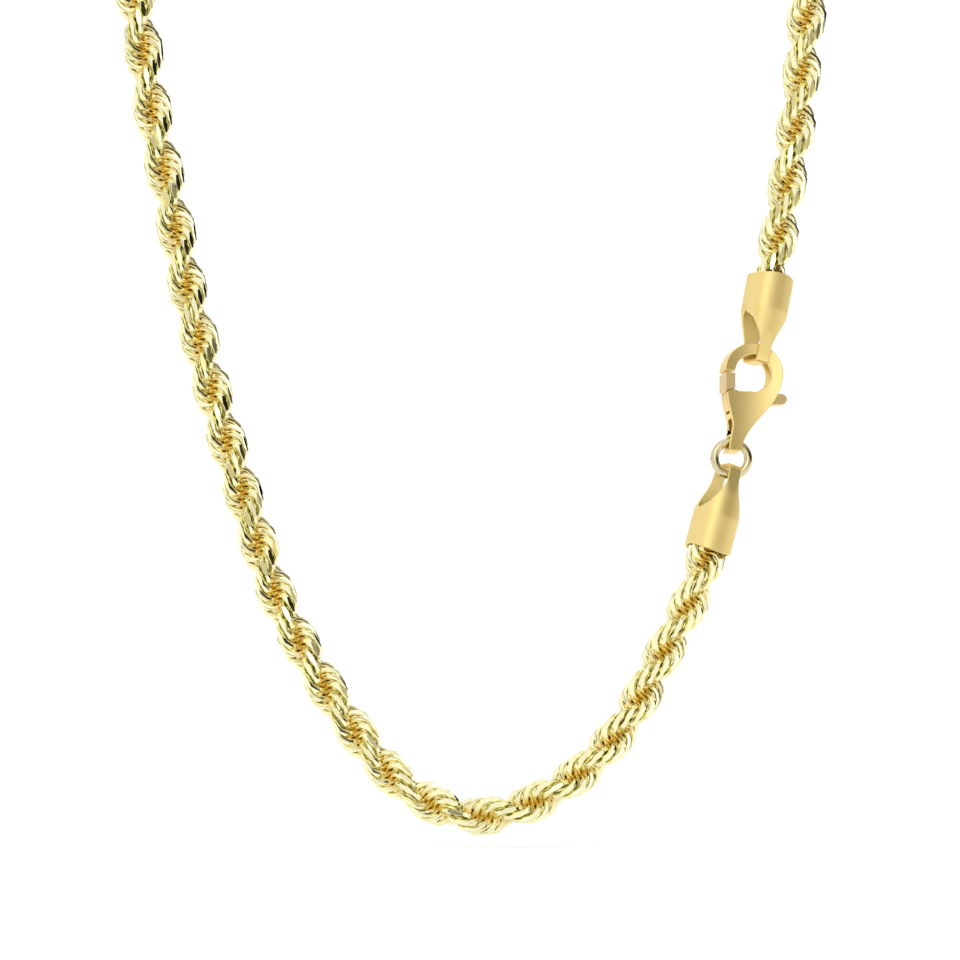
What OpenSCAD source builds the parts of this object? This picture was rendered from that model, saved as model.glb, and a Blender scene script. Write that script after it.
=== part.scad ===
// Rope chain necklace with a trigger clasp, fastened as it hangs on a neck.
// Millimetres. X runs to the right of the front view, Y away from the viewer, Z up.
// The origin is the middle of the rope at the nape.

/* [Rope] */
// Outer width of the twisted rope
rope_d = 4; // [3.6:0.1:4.4]

/* [End caps] */
// Length of an end cap from its mouth to the outside of its fold
cap_len = 9.2; // [8.6:0.1:10]
// Length of the round barrel that holds the rope
cap_barrel = 3.7; // [3.2:0.1:4.2]
// Thickness of the cap's sheet metal
cap_wall = 0.26; // [0.2:0.02:0.34]
// Depth inside the fold, from the front tongue to the back tongue
fold_depth = 2.9; // [2.8:0.1:3.1]
// Width of each tongue at the fold
tongue_w = 1.25; // [1:0.05:1.4]
// Height of the scooped notch on each side of a cap, from the fold up
notch_h = 5.8; // [5.2:0.1:6]
// How deep the rope sits inside a cap
rope_seat = 3.4; // [2.6:0.1:3.6]

/* [Clasp] */
// Thickness of the clasp from front to back
clasp_t = 2.15; // [2:0.05:2.2]
// Width of the channel between the clasp's two plates
channel_w = 1.2; // [1.1:0.05:1.3]
// Radius of the opening inside the hook
opening_r = 1.9; // [1.8:0.02:1.94]
// Outer radius of the hook
hook_r = 3.05; // [2.95:0.05:3.2]
// From the middle of the opening down to the clasp's foot
clasp_drop = 8; // [7.8:0.1:8.6]
// Gap between the hook's tip and the gate when shut
gate_gap = 0.2; // [0.16:0.02:0.26]
// Width of the gate
gate_w = 1.02; // [0.9:0.02:1.04]
// Thickness of the lever's arm inside the channel
arm_t = 1; // [0.9:0.05:1.05]
// Radius of the lever's rounded arm and thumb tab
tab_r = 0.56; // [0.5:0.02:0.6]
// Radius of the lever's pin
pin_r = 0.3; // [0.24:0.02:0.34]

/* [Jump ring] */
// Radius of the jump ring to the middle of its wire
ring_r = 1.69; // [1.64:0.01:1.74]
// Wire of the jump ring
ring_wire = 0.85; // [0.76:0.01:0.88]

/* [Hidden] */
$fn = 64;

// Far enough past any small piece for a cut to go right through it
far = 5;

// Gaps between pieces that stay loose or slide in each other
fit_gap = 0.08;
pin_gap = 0.04;
shoulder_gap = 0.08;
hang_gap = 0.12;

// The front of the necklace lies in a leaning plane: it comes forward by this share of its drop
lean_share = 0.2;
lean = atan(lean_share);

// Middle of the hook's opening, which the clasp's own frame starts from
clasp_at = [27.4, -97.5, -97.5];
clasp_yaw = 17;
ring_yaw = 8;
cap_yaw = 27;
upper_tilt = 10.5;
lower_tilt = 14.5;

// Places inside the clasp's own frame, X to the right and Z up, from the middle of the opening
opening_x = 0.15;
hook_x = 0.25;
hook_z = 0.05;
tip_z = 0.13;
gate_x = hook_x - hook_r + 0.03;
gate_room_x = -1.42;
ledge_z = -opening_r;
slot_top = ledge_z + 0.35;
pivot = [gate_x + 0.87, ledge_z - 1.1];
shoulder_r = 1.25;
hub_r = pin_r + 0.6;
channel_r = opening_r + 0.65;
eye_x = -1.86;
eye_z = 1.04 - clasp_drop;
eye_top = eye_z + ring_wire / 2 + 0.06;
tab_at = [hook_x + 0.99 * hook_r, ledge_z - 0.47];
hump_at = [1.3, ledge_z - 0.08];
hump_r = 0.5;
upper_tip_x = 0.6;
pin_len = clasp_t - 0.3;

// Room round the lever: how far its arm swings, and the spacer and window below the hub
swing = 26;
swing_gap = 0.5;
under_arm = pivot + 2 * far * [cos(swing), -sin(swing)] - swing_gap * [sin(swing), cos(swing)];
spacer_top = pivot.y - hub_r - 0.18;
spacer_x = -1.35;
window_top = spacer_top - 0.57;
window_low = eye_top + 0.28;
side_wall = 0.36;

// Outline of the clasp below its hook, right side downwards and left side upwards:
// share of the hook's radius sideways, and share of the clasp's drop downwards
TAIL_OUT = 0;
TAIL_DOWN = 1;
tail_right = [
    [1.06, 0.06], [0.96, 0.2], [0.755, 0.345], [0.49, 0.475], [0.18, 0.61], [-0.1, 0.75],
    [-0.28, 0.875], [-0.38, 1]
];
tail_left = [
    [-0.78, 1], [-0.74, 0.875], [-0.68, 0.75], [-0.65, 0.65], [-0.72, 0.525], [-0.795, 0.4],
    [-0.835, 0.31], [-0.85, 0.21]
];

// Points that the rope's middle passes through, from the lower cap round the neck to the upper cap
route = [
    [19.5, -102.8, -124], [14.5, -104.6, -133], [8, -105.8, -139], [0.5, -106.3, -141.5],
    [-6.5, -105.8, -139], [-12, -104.6, -133], [-16.5, -103.2, -126], [-20, -101.8, -119],
    [-23, -100, -110], [-26, -98, -100], [-28.5, -96, -90], [-30.5, -94, -80], [-32.5, -92, -70],
    [-34, -90, -60], [-36.5, -86.5, -50.5], [-41, -80.5, -41.5], [-47.5, -72.5, -33.5],
    [-54.5, -63, -26], [-60, -52, -19], [-61.5, -40, -12.5], [-58, -28, -7.5],
    [-49.5, -17, -4.5], [-38.5, -8.5, -2.5], [-26, -3, -1], [-13, -0.5, 0], [0, 0, 0],
    [13, -0.5, 0], [26, -3, -1], [38.5, -8.5, -2.5], [49.5, -17, -4.5], [58, -28, -7.5],
    [61.5, -40, -12.5], [60, -52, -19], [54.5, -63, -26], [47.5, -72.5, -33.5],
    [41, -80.5, -41.5], [36.5, -86.5, -50.5], [33.5, -90, -60], [32.5, -92, -70],
    [31, -94, -80]
];
route_steps = 2;
rope_sides = 12;
lead = 3.2;

// Cap sizes that follow from the rope
cap_bore = rope_d + 2 * fit_gap;
cap_rim = 0.42;
fold_inner_r = 0.4;
fold_half = 1;
cap_waist_r = 1.86;
cap_waist_z = 3;

// Edge of a tongue: share of the way out from its foot to the barrel, and share of the notch's height
EDGE_OUT = 0;
EDGE_UP = 1;
notch_edge = [
    [0, 0], [0, 0.3], [0.09, 0.415], [0.21, 0.517], [0.41, 0.631], [0.59, 0.741], [0.75, 0.81],
    [0.94, 0.914], [1, 0.965], [1.06, 1]
];

// Where each cap's fold comes to lie, in the leaning plane round the clasp
skew = cap_yaw - clasp_yaw;
bar_reach = tongue_w / 2 * cos(skew) * cos(upper_tilt) + clasp_t / 2 * sin(skew);
bar_under = sqrt(pow(opening_r, 2) - pow(upper_tip_x + bar_reach - opening_x, 2));
upper_fold = [upper_tip_x * cos(clasp_yaw), upper_tip_x * sin(clasp_yaw),
              bar_under + bar_reach * tan(upper_tilt) - hang_gap - cap_wall];
ring_at = [eye_x * cos(clasp_yaw), eye_x * sin(clasp_yaw), eye_z - ring_r];
ring_inner = ring_r - ring_wire / 2;
wire_over = sqrt(pow(ring_inner, 2) - pow(tongue_w / 2, 2));
lower_drop = wire_over - hang_gap - cap_wall;
lower_fold = ring_at - lower_drop * [sin(lower_tilt), 0, cos(lower_tilt)];

// Vector helpers
function unit(v) = v / norm(v);
function lean_out(p) = [p.x, p.y * cos(lean) + p.z * sin(lean), -p.y * sin(lean) + p.z * cos(lean)];
function world(p) = clasp_at + lean_out(p);

// A smooth curve through points, cut into the same number of steps between each pair
function blend(a, b, c, d, t) =
    0.5 * (2 * b + (c - a) * t + (2 * a - 5 * b + 4 * c - d) * t * t
           + (3 * b - a - 3 * c + d) * t * t * t);
function smooth(p, steps) = [
    for (i = [0 : len(p) - 2], k = [0 : steps - 1])
        blend(p[max(i - 1, 0)], p[i], p[i + 1], p[min(i + 2, len(p) - 1)], k / steps),
    p[len(p) - 1]
];

// Points on a cap's axis, measured down from the outside of its fold
function upper_axis(s) = world(upper_fold + s * [sin(upper_tilt), 0, cos(upper_tilt)]);
function lower_axis(s) = world(lower_fold - s * [sin(lower_tilt), 0, cos(lower_tilt)]);

// The rope's middle line: straight inside each cap and for a short lead out of it
seat_s = cap_len - rope_seat;
rope_line = concat(
    [lower_axis(seat_s), lower_axis(cap_len)],
    smooth(concat([lower_axis(cap_len + lead)], route, [upper_axis(cap_len + lead)]), route_steps),
    [upper_axis(cap_len), upper_axis(seat_s)]
);

// Directions along the line, and a side direction carried along it without twist
function heading(p, i) = unit(p[min(i + 1, len(p) - 1)] - p[max(i - 1, 0)]);
function carried(side, t) = unit(side - (side * t) * t);
function sides_from(p, i, side) =
    i == len(p) ? [] : let (s = carried(side, heading(p, i))) concat([s], sides_from(p, i + 1, s));

// A closed round tube swept along a line of points
module tube(p, d, sides) {
    across = sides_from(p, 0, [0, -1, 0]);
    points = [
        for (i = [0 : len(p) - 1], k = [0 : sides - 1])
            let (t = heading(p, i), n = across[i], b = cross(t, n), a = 360 * k / sides)
            p[i] + d / 2 * (cos(a) * n + sin(a) * b)
    ];
    last = (len(p) - 1) * sides;
    walls = [
        for (i = [0 : len(p) - 2], k = [0 : sides - 1])
            let (m = (k + 1) % sides, r = i * sides)
            [r + k, r + sides + k, r + sides + m, r + m]
    ];
    start_face = [for (k = [0 : sides - 1]) k];
    end_face = [for (k = [sides - 1 : -1 : 0]) last + k];
    polyhedron(points, concat([start_face], walls, [end_face]), convexity = 10);
}

// A flat shape drawn in X and Z, made solid to both sides of the XZ plane
module slab(t) {
    rotate([90, 0, 0])
        linear_extrude(t, center = true)
            children();
}

// Places that the small pieces are drawn from
module in_plane() {
    translate(clasp_at)
        rotate([-lean, 0, 0])
            children();
}
module in_clasp() {
    in_plane()
        rotate([0, 0, clasp_yaw])
            children();
}
module in_upper_cap() {
    in_plane()
        translate(upper_fold)
            rotate([0, upper_tilt, 0])
                rotate([0, 0, cap_yaw])
                    children();
}
module in_lower_cap() {
    in_plane()
        translate(lower_fold)
            rotate([0, lower_tilt + 180, 0])
                rotate([0, 0, 180 - cap_yaw])
                    children();
}

// The rope, a round bar of its outer width
module rope_chain() {
    color("gold")
        tube(rope_line, rope_d, rope_sides);
}

// A cap's outer form or hollow: a round barrel that closes to a flat fold at Z = 0, mouth upwards
module cap_form(wall) {
    hull() {
        translate([0, 0, cap_len - cap_barrel])
            cylinder(d = cap_bore + 2 * wall, h = cap_barrel + (wall > 0 ? 0 : 1), $fn = 48);
        for (side = [-1, 1])
            translate([-fold_half, side * (fold_depth / 2 - fold_inner_r),
                       cap_wall + fold_inner_r])
                rotate([0, 90, 0])
                    cylinder(r = fold_inner_r + wall, h = 2 * fold_half, $fn = 24);
        translate([0, 0, cap_waist_z])
            cylinder(r = cap_waist_r + wall, h = 0.2, $fn = 48);
    }
}

// What is cut from one side of a cap, seen from the front
module notch_outline() {
    edge = [
        for (row = notch_edge)
            [tongue_w / 2 + row[EDGE_OUT] * (cap_bore - tongue_w + 2 * cap_wall) / 2,
             row[EDGE_UP] * notch_h]
    ];
    polygon(concat([[far, -1], [tongue_w / 2, -1]], smooth(edge, 4), [[far, notch_h]]));
}

// Sheet-metal end cap: barrel, a scooped notch on each side, two tongues joined by the fold
module end_cap() {
    rim_r = (pow(cap_bore / 2 + cap_wall, 2) + pow(cap_rim, 2)) / (2 * cap_rim);
    difference() {
        cap_form(cap_wall);
        cap_form(0);
        for (side = [0, 1])
            mirror([side, 0, 0])
                slab(2 * rope_d)
                    notch_outline();
        difference() {
            translate([-far, -far, cap_len - 1])
                cube([2 * far, 2 * far, 3]);
            translate([0, 0, cap_len - rim_r])
                rotate([90, 0, 0])
                    cylinder(r = rim_r, h = 4 * far, center = true, $fn = 96);
        }
    }
}
module end_cap_upper() {
    color("goldenrod")
        in_upper_cap()
            end_cap();
}
module end_cap_lower() {
    color("goldenrod")
        in_lower_cap()
            end_cap();
}

// Soldered ring between the clasp and the lower cap
module jump_ring() {
    color("khaki")
        in_plane()
            translate(ring_at)
                rotate([90, 0, ring_yaw])
                    rotate_extrude()
                        translate([ring_r, 0])
                            circle(d = ring_wire, $fn = 32);
}

// Whole outside of the clasp: over the hook from left to right, then round the tail
module clasp_blank() {
    over_hook = [for (a = [180 : -5 : -5]) [hook_x + hook_r * cos(a), hook_z + hook_r * sin(a)]];
    polygon(concat(over_hook, tail_edge(tail_right), tail_edge(tail_left)));
}
function tail_edge(rows) =
    smooth([for (row = rows) [row[TAIL_OUT] * hook_r, -row[TAIL_DOWN] * clasp_drop]], 4);

// Outline of the clasp's plates
module clasp_outline() {
    difference() {
        clasp_blank();
        translate([opening_x, 0])
            circle(r = opening_r, $fn = 96);
        // Room above the shoulder for the gate, and the flat ledge under the opening
        difference() {
            translate([-far, pivot.y])
                square([far + gate_room_x, tip_z - pivot.y]);
            translate(pivot)
                circle(r = shoulder_r);
        }
        translate([gate_room_x - 0.03, ledge_z])
            square([opening_x - 0.4 - gate_room_x, opening_r]);
    }
}

// Channel between the plates: beside the opening, round the lever and a window above the eye
module clasp_channel() {
    intersection() {
        translate([opening_x, 0])
            circle(r = channel_r);
        polygon([
            [opening_x, 0], channel_r * [0.94, 0.78], channel_r * [1.57, -1.18], [0, -2 * channel_r]
        ]);
    }
    polygon([
        [-far, slot_top], [far, slot_top], under_arm, [spacer_x, spacer_top], [-far, spacer_top]
    ]);
    intersection() {
        translate([-side_wall, 0])
            clasp_blank();
        union() {
            translate([-far, window_low])
                square([2 * far, window_top - window_low]);
            translate([spacer_x, window_low])
                square([far, spacer_top - window_low]);
        }
    }
}

// Clasp body: hook, two plates, spacer and eye as one soldered solid
module clasp_body() {
    color("burlywood")
        in_clasp()
            difference() {
                slab(clasp_t)
                    clasp_outline();
                slab(channel_w)
                    clasp_channel();
                // Eye for the jump ring, whose floor follows the inside of the ring
                slab(channel_w)
                    difference() {
                        translate([-far, -clasp_drop])
                            square([2 * far, eye_top + clasp_drop]);
                        translate([eye_x, eye_z - ring_r])
                            circle(r = ring_inner - hang_gap);
                    }
                // Blind holes for the pin
                translate([pivot.x, 0, pivot.y])
                    rotate([90, 0, 0])
                        cylinder(r = pin_r + fit_gap / 2, h = pin_len + fit_gap, center = true);
            }
}

// Trigger lever: a full-thickness gate, a hub on the pin and an arm that ends in the thumb tab
module clasp_lever() {
    color("tan")
        in_clasp()
            difference() {
                union() {
                    slab(clasp_t)
                        difference() {
                            translate([gate_x, pivot.y])
                                square([gate_w, tip_z - gate_gap - pivot.y]);
                            translate(pivot)
                                circle(r = shoulder_r + shoulder_gap);
                        }
                    slab(arm_t)
                        hub_outline();
                    slab(arm_t)
                        arm_outline();
                }
                translate([pivot.x, 0, pivot.y])
                    rotate([90, 0, 0])
                        cylinder(r = pin_r + pin_gap, h = 2 * clasp_t, center = true);
            }
}
// Hub round the pin with the neck of the gate, flush with the plates on the left
module hub_outline() {
    intersection() {
        union() {
            translate([gate_x, pivot.y])
                square([gate_w, shoulder_r + 0.35]);
            translate(pivot)
                circle(r = hub_r);
        }
        clasp_blank();
    }
}
module arm_outline() {
    hull() {
        translate(pivot + [0.3, 0.25])
            circle(r = tab_r, $fn = 32);
        translate(tab_at)
            circle(r = tab_r, $fn = 32);
    }
    hull() {
        translate(hump_at)
            circle(r = hump_r, $fn = 32);
        translate([hump_at.x, tab_at.y])
            circle(r = tab_r, $fn = 32);
    }
}

// Hidden pin that the lever turns on
module lever_pin() {
    color("peru")
        in_clasp()
            translate([pivot.x, 0, pivot.y])
                rotate([90, 0, 0])
                    cylinder(r = pin_r, h = pin_len, center = true);
}

rope_chain();
end_cap_upper();
end_cap_lower();
jump_ring();
clasp_body();
clasp_lever();
lever_pin();
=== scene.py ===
"""Looks of a gold rope chain necklace with a trigger clasp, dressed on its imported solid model."""

import logging
import math
from dataclasses import dataclass, field
from enum import Enum

import bmesh
import bpy
from mathutils import Matrix, Vector


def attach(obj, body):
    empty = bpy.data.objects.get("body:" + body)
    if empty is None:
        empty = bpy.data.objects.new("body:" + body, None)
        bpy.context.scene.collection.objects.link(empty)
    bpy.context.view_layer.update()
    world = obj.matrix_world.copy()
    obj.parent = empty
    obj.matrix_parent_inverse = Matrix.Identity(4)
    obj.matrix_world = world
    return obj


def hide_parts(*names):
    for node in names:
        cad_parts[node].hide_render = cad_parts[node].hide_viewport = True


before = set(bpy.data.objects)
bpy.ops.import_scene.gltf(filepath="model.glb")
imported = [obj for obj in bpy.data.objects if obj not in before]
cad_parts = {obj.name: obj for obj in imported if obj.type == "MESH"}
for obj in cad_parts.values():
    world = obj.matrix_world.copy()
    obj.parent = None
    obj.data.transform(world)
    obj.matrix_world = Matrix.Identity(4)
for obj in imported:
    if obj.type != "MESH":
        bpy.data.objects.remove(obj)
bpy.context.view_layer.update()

MM = 0.001
LOG = logging.getLogger("rope_necklace")

# Angle in degrees from which an edge is sharp, and steps in which a sharp edge is rounded
SHARP_FROM = 40
ROUNDING_STEPS = 2

# Stretch that draws a grain out along X, as brushing does
BRUSHED = (0.25, 1.0, 1.0)

# The front of the necklace lies in a plane that comes forward by a fifth of its drop
LEAN = math.atan(0.2)
CLASP_AT = Vector((27.4, -97.5, -97.5))
FRONT_PLANE = Matrix.Translation(CLASP_AT) @ Matrix.Rotation(-LEAN, 4, "X")

# Points that the rope's middle passes through, in millimetres, from the lower cap round the neck
# to the upper cap. The first two and the last two lie inside the caps.
ROPE_ROUTE = (
    (23.989, -100.968, -112.065), (23.138, -101.613, -115.293), (22.336, -102.221, -118.331),
    (19.5, -102.8, -124), (14.5, -104.6, -133), (8, -105.8, -139), (0.5, -106.3, -141.5),
    (-6.5, -105.8, -139), (-12, -104.6, -133), (-16.5, -103.2, -126), (-20, -101.8, -119),
    (-23, -100, -110), (-26, -98, -100), (-28.5, -96, -90), (-30.5, -94, -80),
    (-32.5, -92, -70), (-34, -90, -60), (-36.5, -86.5, -50.5), (-41, -80.5, -41.5),
    (-47.5, -72.5, -33.5), (-54.5, -63, -26), (-60, -52, -19), (-61.5, -40, -12.5),
    (-58, -28, -7.5), (-49.5, -17, -4.5), (-38.5, -8.5, -2.5), (-26, -3, -1), (-13, -0.5, 0),
    (0, 0, 0), (13, -0.5, 0), (26, -3, -1), (38.5, -8.5, -2.5), (49.5, -17, -4.5),
    (58, -28, -7.5), (61.5, -40, -12.5), (60, -52, -19), (54.5, -63, -26),
    (47.5, -72.5, -33.5), (41, -80.5, -41.5), (36.5, -86.5, -50.5), (33.5, -90, -60),
    (32.5, -92, -70), (31, -94, -80), (30.234, -94.701, -84.398), (29.65, -95.318, -87.483),
    (29.031, -95.973, -90.761),
)

# Lay of the rope: distance from the lower end in millimetres, and half turns made up to there
ROPE_LAY = (
    (0.0, -0.05), (6.5, 1.2), (32.4, 6.2), (58.8, 11.2), (85.7, 16.2), (107.6, 20.2),
    (132.5, 24.2), (457.7, 82.2), (480.3, 86.2), (484.8, 87.0),
)


class Slot(Enum):
    """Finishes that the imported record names."""

    ROPE = "rope"
    CAP = "cap"
    RING = "ring"
    CLASP = "clasp"
    LEVER = "lever"


class CapEnd(Enum):
    """Which end of the rope a cap closes."""

    UPPER = "end_cap_upper"
    LOWER = "end_cap_lower"


class EdgeChoice(Enum):
    """How the edges to be rounded are found: by their angle, or because they are marked."""

    BY_ANGLE = "ANGLE"
    MARKED = "WEIGHT"


def lerp(a: float, b: float, t: float) -> float:
    """Value that lies the share t of the way from a to b."""
    return a + (b - a) * t


def table_value(rows: tuple[tuple[float, float], ...], at: float) -> float:
    """Value of a table at a place between its rows, or straight on past its last row.

    Args:
        rows: Places with their values, by rising place.
        at: Place to look up.

    Returns:
        The value there.
    """
    low = max(i for i in range(len(rows) - 1) if i == 0 or rows[i][0] <= at)
    (a, first), (b, second) = rows[low], rows[low + 1]
    return lerp(first, second, (at - a) / (b - a))


def smooth_through(points: list[Vector], steps: int) -> list[Vector]:
    """Points on a smooth curve that passes through the given points.

    Args:
        points: Points that the curve passes through, of any one dimension.
        steps: Number of steps from each point to the next.

    Returns:
        The curve's points, first and last point included.
    """
    made = []
    for i in range(len(points) - 1):
        a, b = points[max(i - 1, 0)], points[i]
        c, d = points[i + 1], points[min(i + 2, len(points) - 1)]
        for k in range(steps):
            t = k / steps
            made.append(
                0.5 * (2 * b + (c - a) * t + (2 * a - 5 * b + 4 * c - d) * t * t
                       + (3 * b - a - 3 * c + d) * t ** 3)
            )
    return made + [points[-1]]


def new_object(name: str, mesh: bpy.types.Mesh) -> bpy.types.Object:
    """A new object of a mesh, linked into the scene at the origin.

    Args:
        name: Name of the object.
        mesh: Mesh that it shows.

    Returns:
        The new object.
    """
    made = bpy.data.objects.new(name, mesh)
    bpy.context.scene.collection.objects.link(made)
    return made


def mesh_of(name: str, built: bmesh.types.BMesh, sharp_from: float) -> bpy.types.Mesh:
    """A finished mesh, smooth apart from its sharp edges.

    Args:
        name: Name of the new mesh.
        built: Built shape, which is freed.
        sharp_from: Angle in degrees from which an edge stays sharp.

    Returns:
        The new mesh, with its faces pointing outwards.
    """
    bmesh.ops.recalc_face_normals(built, faces=built.faces)
    for face in built.faces:
        face.smooth = True
    for edge in built.edges:
        edge.smooth = edge.calc_face_angle(0.0) < math.radians(sharp_from)
    made = bpy.data.meshes.new(name)
    built.to_mesh(made)
    built.free()
    return made


class NodeBoard:
    """Short way to lay out and link the nodes of one tree."""

    COLUMN_WIDTH = 190
    ROW_HEIGHT = 160
    ROWS = 3

    def __init__(self, tree: bpy.types.NodeTree) -> None:
        """Takes the tree to work on."""
        self.tree = tree
        self.column = 0

    def add(self, kind: str, values: dict | None = None, **settings: object) -> bpy.types.Node:
        """Adds a node.

        Args:
            kind: Name of the node's type.
            values: Values or output sockets for its inputs, by the input's name or number.
            **settings: Properties of the node that are set before its inputs.

        Returns:
            The new node.
        """
        node = self.tree.nodes.new(kind)
        row = self.column % self.ROWS
        node.location = (self.column * self.COLUMN_WIDTH, -row * self.ROW_HEIGHT)
        self.column += 1
        for name, value in settings.items():
            setattr(node, name, value)
        for key, value in (values or {}).items():
            self.feed(node.inputs[key], value)
        return node

    def feed(self, socket: bpy.types.NodeSocket, value: object) -> None:
        """Links an output socket to an input, or sets the input's own value.

        Args:
            socket: Input to feed.
            value: Output socket to link, or value to set.
        """
        if isinstance(value, bpy.types.NodeSocket):
            self.tree.links.new(value, socket)
        else:
            socket.default_value = value

    def sum(self, a: object, b: object) -> bpy.types.NodeSocket:
        """The sum of two numbers."""
        return self.add("ShaderNodeMath", {0: a, 1: b}, operation="ADD").outputs[0]

    def product(self, a: object, b: object) -> bpy.types.NodeSocket:
        """The product of two numbers."""
        return self.add("ShaderNodeMath", {0: a, 1: b}, operation="MULTIPLY").outputs[0]


class MetalGroups:
    """Shader node groups that the gold finishes share."""

    # Usual range of the noise, and the height of the grain in metres
    NOISE_LOW, NOISE_MIDDLE, NOISE_HIGH = 0.3, 0.5, 0.7
    GRAIN_HEIGHT = 0.00002

    def __init__(self) -> None:
        """Builds both groups."""
        self.grain = self.build_grain()
        self.tone = self.build_tone_and_painted_light()

    @staticmethod
    def new_group(name: str, takes: dict[str, str], gives: dict[str, str]) -> bpy.types.NodeTree:
        """An empty shader group.

        Args:
            name: Name of the group.
            takes: Socket type of each input by its name.
            gives: Socket type of each output by its name.

        Returns:
            The group's tree.
        """
        tree = bpy.data.node_groups.new(name, "ShaderNodeTree")
        for direction, sockets in (("INPUT", takes), ("OUTPUT", gives)):
            for label, kind in sockets.items():
                tree.interface.new_socket(label, in_out=direction, socket_type=kind)
        return tree

    def build_grain(self) -> bpy.types.NodeTree:
        """Group for the polish: grain from stretched noise, on a slightly dished surface.

        Returns:
            The group's tree.
        """
        tree = self.new_group(
            "polishing_grain",
            {"Stretch": "NodeSocketVector", "Scale": "NodeSocketFloat",
             "Rough from": "NodeSocketFloat", "Rough to": "NodeSocketFloat",
             "Depth": "NodeSocketFloat", "Dish": "NodeSocketFloat",
             "Dish middle": "NodeSocketFloat"},
            {"Roughness": "NodeSocketFloat", "Normal": "NodeSocketVector"},
        )
        board = NodeBoard(tree)
        given = board.add("NodeGroupInput").outputs
        place = board.add("ShaderNodeTexCoord").outputs["Object"]
        along = board.add("ShaderNodeVectorMath", {0: place, 1: given["Stretch"]},
                          operation="MULTIPLY").outputs[0]
        fine = board.add("ShaderNodeTexNoise", {"Vector": along, "Scale": given["Scale"],
                                                "Detail": 3.0, "Roughness": 0.6}).outputs[0]
        rough = board.add("ShaderNodeMapRange", {
            "Value": fine, "From Min": self.NOISE_LOW, "From Max": self.NOISE_HIGH,
            "To Min": given["Rough from"], "To Max": given["Rough to"],
        }).outputs[0]
        off = board.sum(board.add("ShaderNodeSeparateXYZ", {0: place}).outputs["X"],
                        board.product(given["Dish middle"], -1.0))
        bowl = board.product(board.product(off, off), given["Dish"])
        dished = board.add("ShaderNodeBump", {"Height": bowl, "Distance": 1.0}).outputs[0]
        bump = board.add("ShaderNodeBump", {"Height": fine, "Strength": given["Depth"],
                                            "Distance": self.GRAIN_HEIGHT,
                                            "Normal": dished}).outputs[0]
        board.add("NodeGroupOutput", {"Roughness": rough, "Normal": bump})
        return tree

    def build_tone_and_painted_light(self) -> bpy.types.NodeTree:
        """Group for the metal's colour: a second colour that an attribute mixes in, as painted
        shade on the rope and painted light in the caps, and slight random clouds.

        Returns:
            The group's tree.
        """
        tree = self.new_group(
            "gold_tone_and_painted_light",
            {"Face": "NodeSocketColor", "Inner": "NodeSocketColor", "Depth": "NodeSocketFloat",
             "Cloud scale": "NodeSocketFloat", "Cloud": "NodeSocketFloat"},
            {"Color": "NodeSocketColor"},
        )
        board = NodeBoard(tree)
        given = board.add("NodeGroupInput").outputs
        place = board.add("ShaderNodeTexCoord").outputs["Object"]
        cloud = board.add("ShaderNodeTexNoise", {"Vector": place, "Scale": given["Cloud scale"],
                                                 "Detail": 2.0}).outputs[0]
        drift = board.product(board.sum(cloud, -self.NOISE_MIDDLE), given["Cloud"])
        # Share of the second colour: the attribute's painted shade and light, plus the random
        # clouds
        share = board.add("ShaderNodeMath", {0: given["Depth"], 1: drift}, operation="ADD",
                          use_clamp=True).outputs[0]
        mixed = board.add("ShaderNodeMix", {"Factor": share, "A": given["Face"],
                                            "B": given["Inner"]}, data_type="RGBA")
        board.add("NodeGroupOutput", {"Color": mixed.outputs["Result"]})
        return tree


@dataclass(frozen=True)
class GoldFinish:
    """One finish of the gold: its colours, its polish and its grain.

    The face colour turns into the inner one where the painted light attribute of the mesh is 1,
    as painted shade towards the rope's core and as painted light on the caps' inner faces. Slight
    random clouds also mix the two. Where its polish attribute is 1, the roughness loses the share
    polish_gain, or gains it if negative.
    """

    name: str
    face: tuple[float, float, float, float]
    # Second colour: painted shade on the rope, painted light in the caps, and the tone of the
    # random clouds
    inner: tuple[float, float, float, float]
    rough_from: float
    rough_to: float
    grain_scale: float
    grain_depth: float
    cloud_scale: float
    cloud: float
    grain_stretch: tuple[float, float, float] = (1.0, 1.0, 1.0)
    painted_light_attribute: str = ""
    polish_attribute: str = ""
    polish_gain: float = 0.0
    dish: float = 0.0
    dish_middle: float = 0.0

    def material(self, groups: MetalGroups) -> bpy.types.Material:
        """The finish as a material.

        Args:
            groups: Shader groups for the grain and the tone.

        Returns:
            The new material.
        """
        made = bpy.data.materials.new(self.name)
        made.use_nodes = True
        made.node_tree.nodes.clear()
        made.diffuse_color = self.face
        board = NodeBoard(made.node_tree)
        grain = board.add("ShaderNodeGroup", {
            "Stretch": self.grain_stretch, "Scale": self.grain_scale,
            "Rough from": self.rough_from, "Rough to": self.rough_to,
            "Depth": self.grain_depth, "Dish": self.dish, "Dish middle": self.dish_middle,
        }, node_tree=groups.grain)
        tone = board.add("ShaderNodeGroup", {
            "Face": self.face, "Inner": self.inner, "Depth": 0.0,
            "Cloud scale": self.cloud_scale, "Cloud": self.cloud,
        }, node_tree=groups.tone)
        # Painted light: the attribute mixes in the second colour, as painted shade on the rope and
        # painted light in the caps
        if self.painted_light_attribute:
            depth = board.add("ShaderNodeAttribute", attribute_name=self.painted_light_attribute)
            board.feed(tone.inputs["Depth"], depth.outputs["Fac"])
        rough = grain.outputs["Roughness"]
        if self.polish_attribute:
            where = board.add("ShaderNodeAttribute", attribute_name=self.polish_attribute)
            kept = board.sum(1.0, board.product(where.outputs["Fac"], -self.polish_gain))
            rough = board.product(rough, kept)
        metal = board.add("ShaderNodeBsdfPrincipled", {
            "Base Color": tone.outputs["Color"], "Metallic": 1.0,
            "Roughness": rough, "Normal": grain.outputs["Normal"],
        })
        board.add("ShaderNodeOutputMaterial", {"Surface": metal.outputs[0]})
        return made


# The rope's second colour is painted shade: darker and browner towards the rope's core
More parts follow.
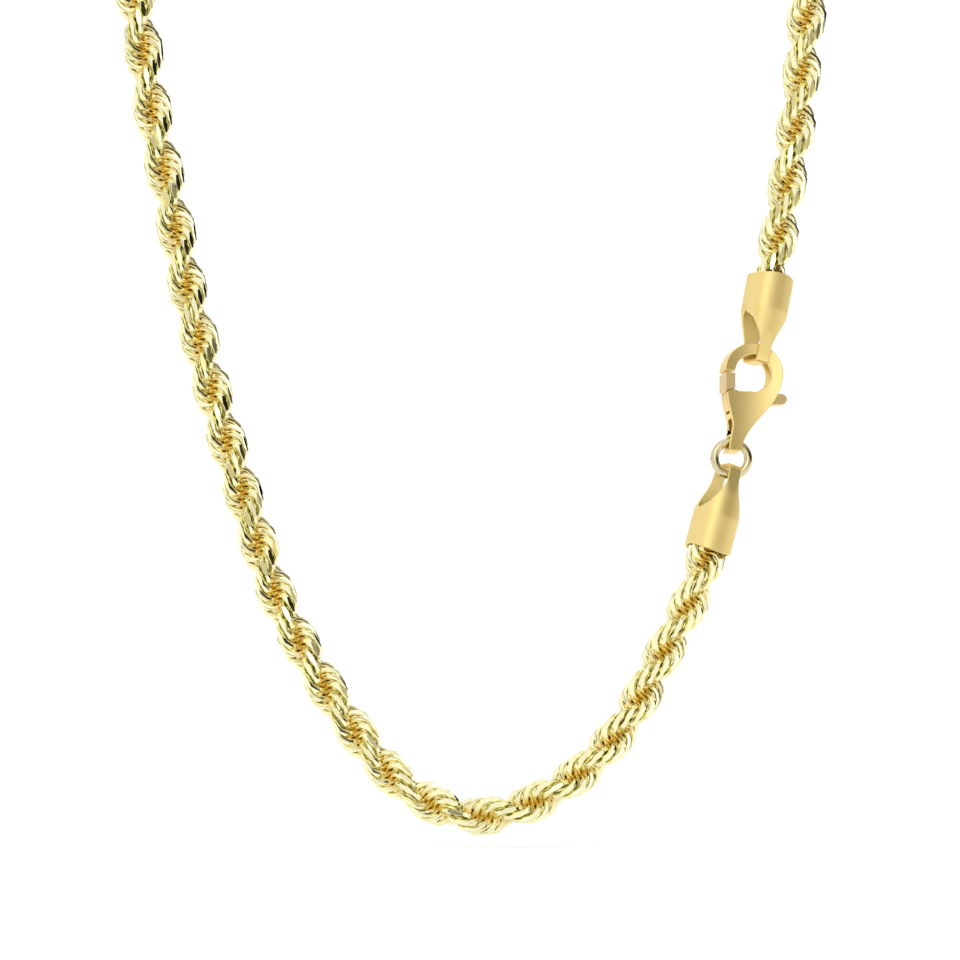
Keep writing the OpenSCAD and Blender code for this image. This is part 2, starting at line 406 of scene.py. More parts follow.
DIAMOND_CUT = GoldFinish(
    "diamond_cut_gold", face=(0.97, 0.93, 0.60, 1), inner=(0.68, 0.46, 0.06, 1),
    rough_from=0.08, rough_to=0.13, grain_scale=4000.0, grain_depth=0.02,
    cloud_scale=700.0, cloud=0.15,
    painted_light_attribute="painted_core_shade", polish_attribute="mirror_cut", polish_gain=0.7,
)
# Caps: the second colour is painted light on the hollow's inner face, paler and brighter than the
# outside; that face is also rougher
SATIN_CAP = GoldFinish(
    "satin_cap_gold", face=(0.935, 0.74, 0.31, 1), inner=(1.0, 0.89, 0.52, 1),
    rough_from=0.40, rough_to=0.46, grain_scale=9000.0, grain_depth=0.05,
    grain_stretch=BRUSHED, cloud_scale=250.0, cloud=0.2,
    painted_light_attribute="inside", polish_attribute="inside", polish_gain=-0.9,
)
SATIN_CLASP = GoldFinish(
    "satin_clasp_gold", face=(0.94, 0.735, 0.31, 1), inner=(0.80, 0.57, 0.20, 1),
    rough_from=0.36, rough_to=0.40, grain_scale=12000.0, grain_depth=0.04,
    grain_stretch=BRUSHED, cloud_scale=250.0, cloud=0.3, dish=50.0, dish_middle=0.0268,
)
BRIGHT_RING = GoldFinish(
    "bright_ring_gold", face=(0.72, 0.63, 0.39, 1), inner=(0.58, 0.46, 0.24, 1),
    rough_from=0.05, rough_to=0.09, grain_scale=4000.0, grain_depth=0.02,
    cloud_scale=500.0, cloud=0.3,
)
WARM_LEVER = GoldFinish(
    "warm_lever_gold", face=(0.93, 0.72, 0.36, 1), inner=(0.82, 0.58, 0.26, 1),
    rough_from=0.34, rough_to=0.38, grain_scale=12000.0, grain_depth=0.04,
    grain_stretch=BRUSHED, cloud_scale=250.0, cloud=0.3,
)


@dataclass(frozen=True)
class Card:
    """A soft-edged card round the set, which only mirrored light sees.

    It is at its full level within the inner angle from its middle, and gone past the outer one,
    both in degrees. A level of 1 is that of the white room.
    """

    toward: tuple[float, float, float]
    inner: float
    outer: float
    level: float
    tint: tuple[float, float, float] = (1.0, 1.0, 1.0)

    def color(self) -> tuple[float, float, float, float]:
        """The card's light against that of the white room."""
        return (*(self.level * part for part in self.tint), 1.0)


@dataclass
class Studio:
    """Camera, soft light, pale floor and the cards that polished metal mirrors, in metres."""

    view_middle: tuple[float, float] = (0.0005, -0.108)
    view_width: float = 0.096
    front_y: float = -0.0985
    distance: float = 3.0
    sees_to: float = 60.0
    sensor_mm: float = 36.0
    floor_z: float = -0.1446
    floor_reach: float = 30.0
    floor_grey: float = 0.9
    floor_rough: float = 0.9
    floor_glow: float = 0.3
    light: float = 0.98
    backdrop: float = 1.05
    cards: tuple[Card, ...] = (
        # Small dark cards, for the dark lines in the polished wire
        Card((0.0, -1.0, 0.0), 5, 10, 0.07, (0.9, 1.0, 0.6)),
        Card((0.77, 0.60, 0.22), 14, 24, 0.0),
        Card((-0.77, 0.60, -0.22), 14, 24, 0.0),
        Card((0.58, -0.60, 0.55), 9, 17, 0.05, (0.9, 1.0, 0.6)),
        Card((-0.58, -0.60, -0.55), 9, 17, 0.05, (0.9, 1.0, 0.6)),
        Card((0.95, -0.10, 0.30), 8, 15, 0.02),
        Card((-0.95, -0.10, -0.30), 8, 15, 0.02),
        Card((0.82, -0.38, 0.43), 9, 15, 0.03),
        Card((-0.82, -0.38, -0.43), 9, 15, 0.03),
        # Warm half-bright cards, for the shaded sides of the caps and the clasp
        Card((0.93, -0.10, 0.20), 28, 72, 0.56, (1.0, 0.9, 0.66)),
        Card((0.0, -0.3, -1.0), 20, 55, 0.55, (1.0, 0.92, 0.7)),
        Card((-0.45, -0.80, 0.30), 8, 20, 0.65, (1.0, 0.92, 0.7)),
        # Cards brighter than the room, for the highlights
        Card((-0.15, -0.85, 0.50), 8, 20, 2.0),
        Card((0.45, -0.85, -0.20), 8, 20, 1.8),
    )

    def build(self) -> None:
        """Makes the camera, the world and the floor."""
        self.place_camera()
        self.light_world()
        self.lay_floor()
        bpy.context.scene.view_settings.view_transform = "Standard"

    def place_camera(self) -> None:
        """A level camera straight in front, far enough for nearly parallel lines."""
        lens = bpy.data.cameras.new("camera")
        lens.sensor_width = self.sensor_mm
        lens.lens = self.sensor_mm * self.distance / self.view_width
        lens.clip_end = self.sees_to
        camera = bpy.data.objects.new("camera", lens)
        camera.location = (self.view_middle[0], self.front_y - self.distance, self.view_middle[1])
        camera.rotation_euler = (math.pi / 2, 0, 0)
        bpy.context.scene.collection.objects.link(camera)
        bpy.context.scene.camera = camera

    def light_world(self) -> None:
        """A white room with cards in it, and plain white where the camera looks past the piece."""
        world = bpy.data.worlds.new("studio")
        bpy.context.scene.world = world
        world.use_nodes = True
        world.node_tree.nodes.clear()
        board = NodeBoard(world.node_tree)
        toward = board.add("ShaderNodeTexCoord").outputs["Generated"]
        room: object = (1, 1, 1, 1)
        for card in self.cards:
            middle = Vector(card.toward).normalized()
            near = board.add("ShaderNodeVectorMath", {0: toward, 1: middle},
                             operation="DOT_PRODUCT").outputs["Value"]
            share = board.add("ShaderNodeMapRange", {
                "Value": near, "From Min": math.cos(math.radians(card.outer)),
                "From Max": math.cos(math.radians(card.inner)),
            }, interpolation_type="SMOOTHSTEP").outputs[0]
            mixed = board.add("ShaderNodeMix", {"Factor": share, "A": room, "B": card.color()},
                              data_type="RGBA", blend_type="MULTIPLY")
            room = mixed.outputs["Result"]
        seen = board.add("ShaderNodeLightPath").outputs["Is Camera Ray"]
        hue = board.add("ShaderNodeMix", {"Factor": seen, "A": room, "B": (1, 1, 1, 1)},
                        data_type="RGBA").outputs["Result"]
        strength = board.add("ShaderNodeMapRange", {"Value": seen, "To Min": self.light,
                                                    "To Max": self.backdrop}).outputs[0]
        glow = board.add("ShaderNodeBackground", {"Color": hue, "Strength": strength})
        board.add("ShaderNodeOutputWorld", {"Surface": glow.outputs[0]})

    def lay_floor(self) -> None:
        """A plain pale floor just under the necklace's lowest point."""
        r, z = self.floor_reach, self.floor_z
        flat = bpy.data.meshes.new("floor")
        flat.from_pydata([(-r, -r, z), (r, -r, z), (r, r, z), (-r, r, z)], [], [(0, 1, 2, 3)])
        floor = new_object("floor", flat)
        pale = bpy.data.materials.new("pale_floor")
        pale.use_nodes = True
        coat = pale.node_tree.nodes["Principled BSDF"].inputs
        grey = self.floor_grey
        for key, value in (("Base Color", (grey, grey, grey, 1)), ("Roughness", self.floor_rough),
                           ("Specular IOR Level", 0.0), ("Emission Color", (1, 1, 1, 1)),
                           ("Emission Strength", self.floor_glow)):
            coat[key].default_value = value
        flat.materials.append(pale)


@dataclass
class RopeLink:
    """One round link of the rope, in millimetres, of six-sided wire with a flat cut outside.

    Corners are placed round the wire from its outside and stations round the ring from its
    outermost point, both in degrees. A painted shade, darker and browner towards the rope's core,
    sets in at painted_shade_from from the rope's middle and is full at painted_shade_to. The
    links overlap in the rope, so they show its look only.
    """

    ring_r: float = 1.55
    wire: float = 0.70
    off_axis: float = 0.30
    tilt: float = math.radians(1)
    cut_at: float = 1.94
    corners: tuple[float, ...] = (42.0, 105.0, 150.0, 210.0, 255.0, 318.0)
    flat_corners: tuple[float, ...] = (42.0, 318.0)
    stations: tuple[float, ...] = (50.0, 74.0, 102.0, 136.0)
    cut_taper: float = 0.45
    # Distances in millimetres from the rope's middle at which the painted shade sets in and is full
    painted_shade_from: float = 1.20
    painted_shade_to: float = 0.35
    same_angle: float = 0.001

    def cut_angle(self) -> float:
        """Angle round the ring at which the wire's outer corners dip below the cut."""
        reach = self.ring_r + self.wire / 2 * math.cos(math.radians(self.corners[0]))
        return math.degrees(math.acos((self.cut_at - self.off_axis) / reach))

    def ring_angles(self) -> list[float]:
        """Angles of the wire's sections round the ring, in degrees from the outermost point."""
        one_side = [self.cut_angle(), *self.stations]
        return [-a for a in reversed(one_side)] + [0.0] + one_side + [180.0]

    def ends_cut(self, ring_deg: float) -> bool:
        """Whether a section is one of the two at which the flat cut ends."""
        return abs(abs(ring_deg) - self.cut_angle()) < self.same_angle

    def point(self, ring_deg: float, corner_deg: float) -> Vector:
        """A point of the wire's surface beside the rope's axis, in millimetres.

        Args:
            ring_deg: Angle round the ring, from its outermost point.
            corner_deg: Angle round the wire, from its outside.

        Returns:
            The point, with X outwards, Z along the rope and the flat cut made.
        """
        a, b = math.radians(ring_deg), math.radians(corner_deg)
        if self.ends_cut(ring_deg) and corner_deg in self.flat_corners:
            b = math.radians((corner_deg + 180) % 360 - 180) * self.cut_taper
        r = self.ring_r + self.wire / 2 * math.cos(b)
        across = self.wire / 2 * math.sin(b)
        along = Vector((0, math.sin(self.tilt), math.cos(self.tilt)))
        sideways = Vector((0, math.cos(self.tilt), -math.sin(self.tilt)))
        at = Vector((self.off_axis + r * math.cos(a), 0, 0)) + along * r * math.sin(a)
        at += sideways * across
        at.x = min(at.x, self.cut_at)
        return at

    def mesh(self) -> bpy.types.Mesh:
        """The link's mesh.

        Returns:
            The mesh in metres. It marks how far each point lies inside the rope, for the painted
            shade towards the rope's core, and its flat cut.
        """
        built = bmesh.new()
        # Painted shade: share of the darker, browner colour at each point, full at the rope's core
        depth = built.verts.layers.float.new("painted_core_shade")
        mirror = built.faces.layers.float.new("mirror_cut")
        angles = self.ring_angles()
        rings = []
        for angle in angles:
            rings.append([])
            for corner in self.corners:
                at = self.point(angle, corner)
                vert = built.verts.new(at * MM)
                # The painted shade grows from nothing at painted_shade_from to full at
                # painted_shade_to
                out = (math.hypot(at.x, at.y) - self.painted_shade_to) / (self.painted_shade_from - self.painted_shade_to)
                vert[depth] = 1.0 - min(max(out, 0.0), 1.0)
                rings[-1].append(vert)
        cut = self.cut_angle()
        for i, ring in enumerate(rings):
            after = rings[(i + 1) % len(rings)]
            middle = (angles[i] + angles[(i + 1) % len(rings)]) / 2
            for k, corner in enumerate(self.corners):
                m = (k + 1) % len(self.corners)
                face = built.faces.new([ring[k], after[k], after[m], ring[m]])
                face.smooth = True
                # The flat lies between the last corner and the first
                if m == 0 and abs(middle) < cut and i < len(rings) - 1:
                    face[mirror] = 1.0
        for i, ring in enumerate(rings):
            after = rings[(i + 1) % len(rings)]
            for k, corner in enumerate(self.corners):
                if corner in self.flat_corners:
                    built.edges.get((ring[k], after[k])).smooth = False
            if self.ends_cut(angles[i]):
                built.edges.get((ring[-1], ring[0])).smooth = False
        bmesh.ops.recalc_face_normals(built, faces=built.faces)
        made = bpy.data.meshes.new("rope_link")
        built.to_mesh(made)
        built.free()
        return made


@dataclass
class RopeChain:
    """The rope: one link repeated along the route by a screw turn, in two lengths that meet.

    The spacing is in millimetres. The tremor is the most that a link is turned out of line about
    each of its axes, in radians.
    """

    link: RopeLink = field(default_factory=RopeLink)
    lay: tuple[tuple[float, float], ...] = ROPE_LAY
    spacing: float = 0.40
    tremor: tuple[float, float, float] = (math.radians(1.5), math.radians(1.5), math.radians(4))
    seed: int = 7
    route_steps: int = 8

    def axis_carrier(self) -> tuple[bpy.types.Object, float]:
        """The rope's middle line as edges that hold the turn made up to each point.

        Returns:
            The line's object, and its length in millimetres.
        """
        line = smooth_through([Vector(p) for p in ROPE_ROUTE], self.route_steps)
        mesh = bpy.data.meshes.new("rope_axis")
        mesh.from_pydata([p * MM for p in line], [(i, i + 1) for i in range(len(line) - 1)], [])
        turn = mesh.attributes.new("turn", "FLOAT", "POINT")
        run = 0.0
        for i, point in enumerate(line):
            run += (point - line[max(i - 1, 0)]).length
            turn.data[i].value = math.pi * table_value(self.lay, run)
        return new_object("rope_axis", mesh), run

    @staticmethod
    def link_tree() -> bpy.types.NodeTree:
        """Geometry Nodes that lay links along a line and turn each one on from the last.

        Returns:
            The tree, whose output is one mesh of all links with their material.
        """
        tree = bpy.data.node_groups.new("rope_of_links", "GeometryNodeTree")
        for label, kind in (("Axis", "NodeSocketGeometry"), ("Link", "NodeSocketObject"),
                            ("Count", "NodeSocketInt"), ("From", "NodeSocketInt"),
                            ("To", "NodeSocketInt"), ("Tremor", "NodeSocketVector"),
                            ("Seed", "NodeSocketInt"), ("Material", "NodeSocketMaterial")):
            tree.interface.new_socket(label, in_out="INPUT", socket_type=kind)
        tree.interface.new_socket("Links", in_out="OUTPUT", socket_type="NodeSocketGeometry")
        board = NodeBoard(tree)
        given = board.add("NodeGroupInput").outputs
        line = board.add("GeometryNodeMeshToCurve", {"Mesh": given["Axis"]}).outputs[0]
        untwisted = board.add("GeometryNodeSetCurveNormal", {"Curve": line},
                              mode="MINIMUM_TWIST").outputs[0]
        spots = board.add("GeometryNodeCurveToPoints", {"Curve": untwisted,
                                                        "Count": given["Count"]}, mode="COUNT")
        # Each link is turned as far as the lay says, and every second one by half a turn more
        index = board.add("GeometryNodeInputIndex").outputs[0]
        odd = board.add("ShaderNodeMath", {0: index, 1: 2.0}, operation="MODULO").outputs[0]
        turn = board.add("GeometryNodeInputNamedAttribute", {"Name": "turn"}, data_type="FLOAT")
        angle = board.sum(turn.outputs["Attribute"], board.product(odd, math.pi))
        spin = board.add("FunctionNodeAxisAngleToRotation", {"Axis": (0, 0, 1), "Angle": angle})
        shake = board.add("FunctionNodeRandomValue", {
            "Seed": given["Seed"], "Min": (-1, -1, -1), "Max": (1, 1, 1),
        }, data_type="FLOAT_VECTOR")
        wobble = board.add("ShaderNodeVectorMath", {0: shake.outputs[0], 1: given["Tremor"]},
                           operation="MULTIPLY")
        tilt = board.add("FunctionNodeEulerToRotation", {0: wobble.outputs[0]}).outputs[0]
        along = board.add("FunctionNodeRotateRotation", {"Rotation": spots.outputs["Rotation"],
                                                         "Rotate By": spin.outputs[0]},
                          rotation_space="LOCAL").outputs[0]
        loose = board.add("FunctionNodeRotateRotation", {"Rotation": along, "Rotate By": tilt},
                          rotation_space="LOCAL").outputs[0]
        after = board.add("FunctionNodeCompare", {"A": index, "B": given["From"]},
                          data_type="INT", operation="GREATER_EQUAL")
        before = board.add("FunctionNodeCompare", {"A": index, "B": given["To"]},
                           data_type="INT", operation="LESS_THAN")
        kept = board.add("FunctionNodeBooleanMath", {0: after.outputs[0], 1: before.outputs[0]},
                         operation="AND").outputs[0]
        shape = board.add("GeometryNodeObjectInfo", {"Object": given["Link"]})
        copies = board.add("GeometryNodeInstanceOnPoints", {
            "Points": spots.outputs["Points"], "Selection": kept,
            "Instance": shape.outputs["Geometry"], "Rotation": loose,
        }).outputs[0]
        solid = board.add("GeometryNodeRealizeInstances", {"Geometry": copies}).outputs[0]
        dressed = board.add("GeometryNodeSetMaterial", {"Geometry": solid,
                                                        "Material": given["Material"]})
        board.add("NodeGroupOutput", {"Links": dressed.outputs[0]})
        return tree

    def length_of_links(self, name: str, carrier: bpy.types.Object,
                        inputs: dict[str, object], tree: bpy.types.NodeTree) -> bpy.types.Object:
        """Part of the rope as a plain mesh object.

        Args:
            name: Name of the new piece.
            carrier: Object whose edges give the middle line.
            inputs: Value of each of the tree's inputs by its name.
            tree: Geometry Nodes that make the links.

        Returns:
            The new piece.
        """
        worker = new_object(name + "_worker", carrier.data)
        layer = worker.modifiers.new("links", "NODES")
        layer.node_group = tree
        for item in tree.interface.items_tree:
            if item.item_type == "SOCKET" and item.name in inputs:
                layer[item.identifier] = inputs[item.name]
        seen = bpy.context.evaluated_depsgraph_get()
        mesh = bpy.data.meshes.new_from_object(worker.evaluated_get(seen),
                                               preserve_all_data_layers=True, depsgraph=seen)
        mesh.name = name
        worker.modifiers.remove(layer)
        bpy.data.objects.remove(worker)
        return new_object(name, mesh)

    def build(self, finish: bpy.types.Material) -> list[bpy.types.Object]:
        """Builds both lengths of the rope.

        Args:
            finish: Material of the links.

        Returns:
            The left and the right length.
        """
        carrier, length = self.axis_carrier()
        pattern = new_object("rope_link", self.link.mesh())
        count = round(length / self.spacing) + 1
        tree = self.link_tree()
        made = []
        for name, first, last in (("rope_left", 0, count // 2), ("rope_right", count // 2, count)):
            piece = self.length_of_links(name, carrier, {
                "Link": pattern, "Count": count, "From": first, "To": last,
                "Tremor": self.tremor, "Seed": self.seed, "Material": finish,
            }, tree)
            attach(piece, "necklace")
            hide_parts("rope_chain")
            LOG.info("%s: links %d to %d", name, first, last - 1)
            made.append(piece)
        for helper in (carrier, pattern):
            bpy.data.objects.remove(helper)
        return made


@dataclass
class EndCap:
    """Sheet-metal cap: a round barrel with scooped sides and two tongues that meet in a fold."""

    end: CapEnd
    fold_at: tuple[float, float, float]
    tilt: float
    yaw: float = math.radians(27)
    length: float = 9.2
    barrel: float = 3.7
    wall: float = 0.26
    bore: float = 4.16
    fold_depth: float = 2.9
    tongue: float = 1.25
    notch: float = 5.8
    rim: float = 0.42
    fold_inner: float = 0.4
    fold_half: float = 1.0
    waist_r: float = 1.86
    waist_z: float = 3.0
    # Edge of a notch, from the fold up: share of the way out, and share of the notch's height
    notch_rows: tuple[tuple[float, float], ...] = (
        (0, 0), (0, 0.3), (0.09, 0.415), (0.21, 0.517), (0.41, 0.631), (0.59, 0.741), (0.75, 0.81),
        (0.94, 0.914), (1, 0.965), (1.06, 1),
    )
    notch_steps: int = 4
    # Rows of the sheet: shares of the barrel's height, number down the waist, and angles in
    # degrees round the fold
    barrel_rows: tuple[float, ...] = (1.0, 0.9, 0.6, 0.3, 0.0)
    waist_rows: int = 32
    fold_rows: tuple[float, ...] = (26, 42, 58, 74, 90)
    columns: int = 20
    # Where the fold's rounding leaves the tongues, in shares of its radius outwards and down
    fold_out: float = 0.985
    fold_down: float = 0.17
    edge_round: float = 0.04
    plain_from: float = 4.4
    seam: float = 0.0001
    shut_from: float = 0.3

    def place(self) -> Matrix:
        """Where the cap's own frame lies, from its fold upwards to its mouth.

        Returns:
            Matrix from that frame to the necklace's, in millimetres.
        """
        if self.end is CapEnd.UPPER:
            turned = Matrix.Rotation(self.tilt, 4, "Y") @ Matrix.Rotation(self.yaw, 4, "Z")
        else:
            turned = (Matrix.Rotation(self.tilt + math.pi, 4, "Y")
                      @ Matrix.Rotation(math.pi - self.yaw, 4, "Z"))
        return FRONT_PLANE @ Matrix.Translation(Vector(self.fold_at)) @ turned

    def notch_edge(self, z: float) -> float:
        """Half the width that the scooped notches leave at a height.

        Args:
            z: Height above the fold.

        Returns:
            Half that width, or the bore above the notches, which is past any width.
        """
        reach = (self.bore - self.tongue + 2 * self.wall) / 2
        edge = [(self.tongue / 2 + p.x * reach, p.y * self.notch)
                for p in smooth_through([Vector(r) for r in self.notch_rows], self.notch_steps)]
        for (x0, z0), (x1, z1) in zip(edge, edge[1:]):
            if z <= z1:
                return lerp(x0, x1, max(z - z0, 0.0) / (z1 - z0))
        return self.bore

    def section(self, z: float, wall: float) -> tuple[float, float, float]:
        """Cross-section at a height, as a rectangle with round corners.

        Args:
            z: Height above the fold.
            wall: Thickness outside the hollow, 0 for the hollow itself.

        Returns:
            Half the rectangle's width, half its depth, and the radius round it.
        """
        waist, mouth = self.waist_r + wall, self.bore / 2 + wall
        low = self.fold_top(wall)
        if z >= self.waist_z:
            top = self.length - self.barrel
            return 0.0, 0.0, lerp(waist, mouth, min((z - self.waist_z) / (top - self.waist_z), 1))
        t = min((self.waist_z - z) / (self.waist_z - low), 1.0)
        fold_r = self.fold_inner + wall
        half_depth = self.fold_depth / 2 - self.fold_inner + self.fold_out * fold_r
        return t * self.fold_half, t * half_depth, (1 - t) * waist

    def fold_top(self, wall: float) -> float:
        """Height at which the straight tongue turns into the fold."""
        return self.wall + self.fold_inner - self.fold_down * (self.fold_inner + wall)

    def sheet_row(self, z: float, wall: float) -> list[Vector]:
        """One row of the front sheet, from its left edge to its right.

        Args:
            z: Height above the fold.
            wall: Thickness outside the hollow, 0 for the hollow itself.

        Returns:
            The row's points.
        """
        flat, deep, r = self.section(z, wall)
        past = max(self.notch_edge(z) - flat, 0.0)
        sweep = math.asin(min(past / r, 1.0)) if r > past else math.pi / 2
        if z > self.waist_z and r * math.cos(sweep) < self.shut_from:
            sweep = math.pi / 2
        half = min(self.notch_edge(z), flat) + r * sweep
        row = []
        for k in range(self.columns + 1):
            along = half * (2 * k / self.columns - 1)
            turn = max(abs(along) - flat, 0.0) / r if r > 0 else 0.0
            x = min(abs(along), flat) + r * math.sin(turn)
            row.append(Vector((math.copysign(x, along), -deep - r * math.cos(turn), z)))
        return row

    def fold_row(self, degrees: float, wall: float) -> list[Vector]:
        """One row of the fold's front rounding.

        Args:
            degrees: Angle round the fold, from upright at 0 to flat at 90.
            wall: Thickness outside the hollow, 0 for the hollow itself.

        Returns:
            The row's points, from left to right.
        """
        a, r = math.radians(degrees), self.fold_inner + wall
        y = -(self.fold_depth / 2 - self.fold_inner) - r * math.cos(a)
        z = self.wall + self.fold_inner - r * math.sin(a)
        reach = self.notch_edge(z)
        return [Vector((reach * (2 * k / self.columns - 1), y, z))
                for k in range(self.columns + 1)]

    def mouth_row(self, share: float, wall: float) -> list[Vector]:
        """One row of the barrel, above the notches.

        Args:
            share: Share of the way from the top of the notches to the curved mouth.
            wall: Thickness outside the hollow, 0 for the hollow itself.

        Returns:
            The row's points, from left to right.
        """
        foot, wide = self.notch, self.bore / 2 + self.wall
        bow = (wide * wide + self.rim * self.rim) / (2 * self.rim)
        row = self.sheet_row(foot, wall)
        for p in row:
            top = self.length - bow + math.sqrt(bow * bow - p.x * p.x)
            p.z = lerp(foot, top, share)
        return row

    def sheet(self, wall: float) -> list[list[Vector]]:
        """Rows of one face of the sheet.

        Args:
            wall: Thickness outside the hollow, 0 for the hollow itself.

        Returns:
            The rows, from the front of the mouth round the fold to the back of the mouth.
        """
        foot, low = self.notch, self.fold_top(wall)
        rows = [self.mouth_row(share, wall) for share in self.barrel_rows]
        rows += [self.sheet_row(lerp(foot, low, k / self.waist_rows), wall)
                 for k in range(1, self.waist_rows + 1)]
        rows += [self.fold_row(degrees, wall) for degrees in self.fold_rows]
        back = [[Vector((p.x, -p.y, p.z)) for p in row] for row in reversed(rows)]
        return rows + back

    def mesh(self) -> bpy.types.Mesh:
        """The cap's mesh.

        Returns:
            The mesh in metres, in its place, with its inner face marked for its painted light and
            its rougher polish.
        """
        built = bmesh.new()
        # Inner faces get the painted light, a paler colour than the outside, and a rougher polish
        inside = built.faces.layers.float.new("inside")
        sheets = [self.sheet(wall) for wall in (self.wall, 0.0)]
        faces = [[[built.verts.new(p * MM) for p in row] for row in rows] for rows in sheets]
        outer, inner = faces
        for grid in faces:
            for above, below in zip(grid, grid[1:]):
                for k in range(self.columns):
                    face = built.faces.new((above[k], above[k + 1], below[k + 1], below[k]))
                    face[inside] = float(grid is inner)
        for k in (0, self.columns):
            self.close_side(built, sheets, faces, k)
        for i in (0, -1):
            for k in range(self.columns):
                built.faces.new((outer[i][k], outer[i][k + 1], inner[i][k + 1], inner[i][k]))
        bmesh.ops.remove_doubles(built, verts=built.verts, dist=self.seam * MM)
        self.mark_rounded(built)
        made = mesh_of(self.end.value, built, SHARP_FROM)
        place = self.place()
        place.translation *= MM
        made.transform(place)
        return made

    def mark_rounded(self, built: bmesh.types.BMesh) -> None:
        """Marks the sharp edges to be rounded, which leaves out the notches' pointed tops.

        Args:
            built: Mesh in the making, in the cap's own frame.
        """
        bmesh.ops.recalc_face_normals(built, faces=built.faces)
        weight = built.edges.layers.float.new("bevel_weight_edge")
        for edge in built.edges:
            heights = [vert.co.z / MM for vert in edge.verts]
            clear = max(heights) < self.plain_from or min(heights) > self.notch
            if clear and edge.calc_face_angle(0.0) > math.radians(SHARP_FROM):
                edge[weight] = 1.0

    def close_side(self, built: bmesh.types.BMesh, sheets: list[list[list[Vector]]],
                   faces: list[list[list[bmesh.types.BMVert]]], k: int) -> None:
        """Joins the sheet's outer and inner face along one side of the cap.

        Args:
            built: Mesh in the making.
            sheets: Points of the outer and the inner face.
            faces: Their vertices in the mesh.
            k: Column at the side, the first or the last.
        """
        outer, inner = faces
        last = len(outer) - 1
        shut = [[abs(row[0].y) < self.seam for row in rows] for rows in sheets]
        for i in range(last // 2):
            back = last - i
            if shut[1][i] and shut[1][i + 1]:
                if not (shut[0][i] and shut[0][i + 1]):
                    built.faces.new((outer[i][k], outer[i + 1][k], outer[back - 1][k],
                                     outer[back][k]))
                continue
            if shut[1][i] and not shut[0][i]:
                built.faces.new((outer[i][k], inner[i][k], outer[back][k]))
            for a, b in ((i, i + 1), (back - 1, back)):
                built.faces.new((outer[a][k], outer[b][k], inner[b][k], inner[a][k]))
        built.faces.new((outer[last // 2][k], outer[last // 2 + 1][k], inner[last // 2 + 1][k],
                         inner[last // 2][k]))

    def build(self, finish: bpy.types.Material) -> bpy.types.Object:
        """Builds the cap and lets it stand for its solid.

        Args:
            finish: Material of the cap.

        Returns:
            The new piece.
        """
        piece = new_object(self.end.value + "_sheet", self.mesh())
        piece.data.materials.append(finish)
        soften_edges(piece, self.edge_round, EdgeChoice.MARKED)
        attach(piece, "necklace")
        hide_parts(self.end.value)
        return piece


def soften_edges(piece: bpy.types.Object, width: float, chosen_by: EdgeChoice) -> None:
    """Rounds a piece's sharp edges.

    Args:
        piece: Piece to finish.
        width: Width of the rounding in millimetres.
        chosen_by: How the edges are found.
    """
    rounding = piece.modifiers.new("rounded_edges", "BEVEL")
    rounding.width = width * MM
    rounding.segments = ROUNDING_STEPS
    rounding.limit_method = chosen_by.value
    rounding.angle_limit = math.radians(SHARP_FROM)
    rounding.use_clamp_overlap = False
    rounding.harden_normals = True


@dataclass
class TriggerClasp:
    """The clasp: its body with the hook, the lever with the gate and thumb tab, and its pin.

    Corners of a solid that are closer than merge millimetres are joined, and its faces that are
    within flat_within degrees of each other become one.
    """

    body_round: float = 0.09
    lever_round: float = 0.06
    merge: float = 0.02
    flat_within: float = 0.5
    sharp_from: float = 35.0

    def copy_of_solid(self, node: str, name: str) -> bpy.types.Mesh:
        """A clean mesh of a solid: joined corners, and flat faces without their triangles.

        Args:
            node: Name of the solid's node.
            name: Name of the new mesh.

        Returns:
            The new mesh.
        """
        built = bmesh.new()
        built.from_mesh(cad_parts[node].data)
        bmesh.ops.remove_doubles(built, verts=built.verts, dist=self.merge * MM)
        bmesh.ops.dissolve_limit(built, angle_limit=math.radians(self.flat_within),
                                 verts=built.verts, edges=built.edges, delimit=set())
        return mesh_of(name, built, self.sharp_from)

    def dress(self, node: str, name: str, body: str, width: float,
              finish: bpy.types.Material) -> bpy.types.Object:
        """Makes a softened copy of one solid and lets it stand for that solid.

        Args:
            node: Name of the solid's node.
            name: Name of the new piece.
            body: Body that the piece moves with.
            width: Width of the rounded edges in millimetres.
            finish: Material of the piece.

        Returns:
            The new piece.
        """
        piece = new_object(name, self.copy_of_solid(node, name))
        piece.data.materials.append(finish)
        soften_edges(piece, width, EdgeChoice.BY_ANGLE)
        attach(piece, body)
        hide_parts(node)
        return piece

    def build(self, plates: bpy.types.Material,
              lever: bpy.types.Material) -> list[bpy.types.Object]:
        """Builds the clasp.

        Args:
            plates: Material of the clasp's body.
            lever: Material of the lever and its pin.

        Returns:
            The clasp's body, its lever and the lever's pin.
        """
        made = [
            self.dress("clasp_body", "clasp_plates", "necklace", self.body_round,
                       plates),
            self.dress("clasp_lever", "clasp_trigger", "lever", self.lever_round,
                       lever),
        ]
        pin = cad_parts["lever_pin"]
        pin.data.materials.clear()
        pin.data.materials.append(lever)
        return [*made, pin]


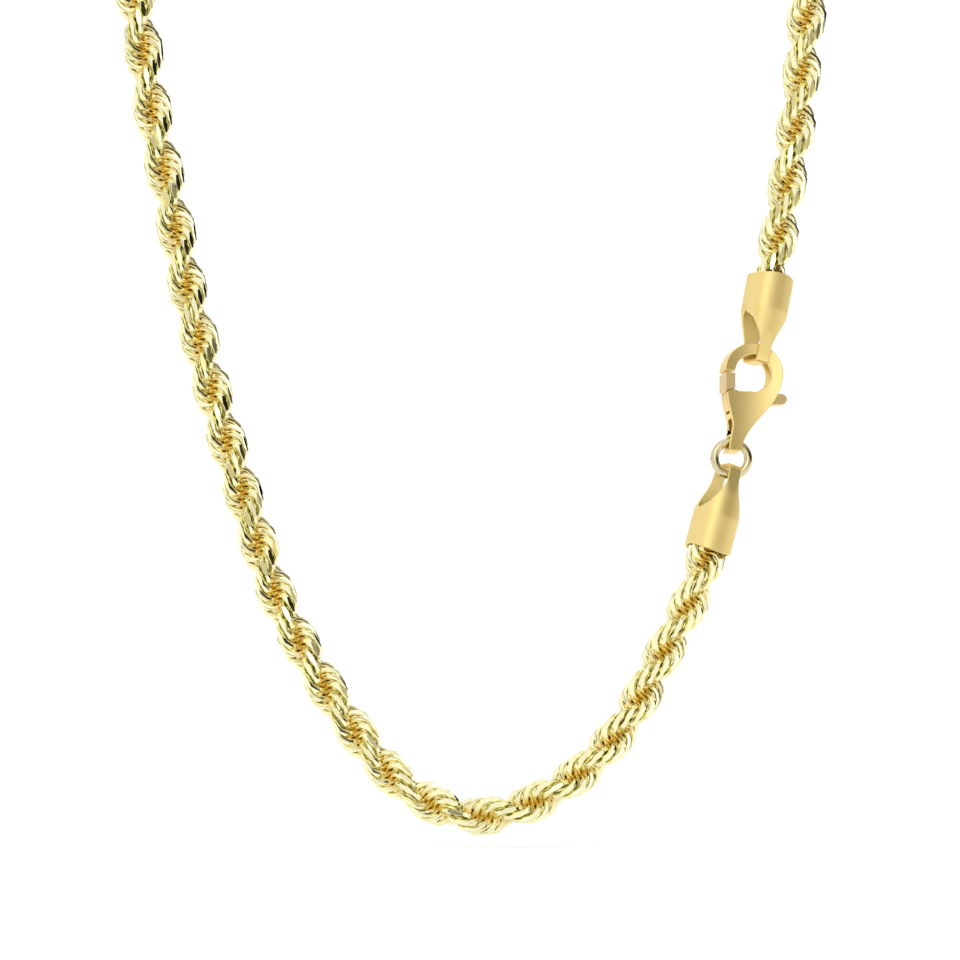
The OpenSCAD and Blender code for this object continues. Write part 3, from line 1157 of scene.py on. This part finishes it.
@dataclass
class JumpRing:
    """Soldered round ring between the clasp and the lower cap, in millimetres."""

    middle: tuple[float, float, float] = (-1.7787, -0.5438, -8.65)
    ring_r: float = 1.69
    wire: float = 0.85
    yaw: float = math.radians(8)
    around: int = 96
    sides: int = 24
    sharp_from: float = 60.0

    def mesh(self) -> bpy.types.Mesh:
        """The ring's mesh.

        Returns:
            The mesh in metres, in its place.
        """
        place = (FRONT_PLANE @ Matrix.Translation(Vector(self.middle))
                 @ Matrix.Rotation(self.yaw, 4, "Z") @ Matrix.Rotation(math.pi / 2, 4, "X"))
        built = bmesh.new()
        rings = []
        for i in range(self.around):
            a = math.tau * i / self.around
            rings.append([])
            for k in range(self.sides):
                b = math.tau * k / self.sides
                r = self.ring_r + self.wire / 2 * math.cos(b)
                at = Vector((r * math.cos(a), r * math.sin(a), self.wire / 2 * math.sin(b)))
                rings[-1].append(built.verts.new(place @ at * MM))
        for i, ring in enumerate(rings):
            after = rings[(i + 1) % self.around]
            for k in range(self.sides):
                m = (k + 1) % self.sides
                built.faces.new((ring[k], after[k], after[m], ring[m]))
        return mesh_of("jump_ring_wire", built, self.sharp_from)

    def build(self, finish: bpy.types.Material) -> bpy.types.Object:
        """Builds the ring and lets it stand for its solid.

        Args:
            finish: Material of the ring.

        Returns:
            The new piece.
        """
        piece = new_object("jump_ring_wire", self.mesh())
        piece.data.materials.append(finish)
        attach(piece, "necklace")
        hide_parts("jump_ring")
        return piece


def main() -> None:
    """Builds the studio, then the rope, both caps, the clasp and the ring, and logs each."""
    logging.basicConfig(level=logging.INFO, format="%(name)s: %(message)s")
    Studio().build()
    groups = MetalGroups()
    pieces = RopeChain().build(DIAMOND_CUT.material(groups))
    satin = SATIN_CAP.material(groups)
    for cap in (
        EndCap(CapEnd.UPPER, fold_at=(0.5738, 0.1754, 1.2047), tilt=math.radians(10.5)),
        EndCap(CapEnd.LOWER, fold_at=(-1.9590, -0.5438, -9.3469), tilt=math.radians(14.5)),
    ):
        pieces.append(cap.build(satin))
    pieces += TriggerClasp().build(SATIN_CLASP.material(groups), WARM_LEVER.material(groups))
    pieces.append(JumpRing().build(BRIGHT_RING.material(groups)))
    for piece in pieces:
        LOG.info("%s: %d faces", piece.name, len(piece.data.polygons))


if __name__ == "__main__":
    main()
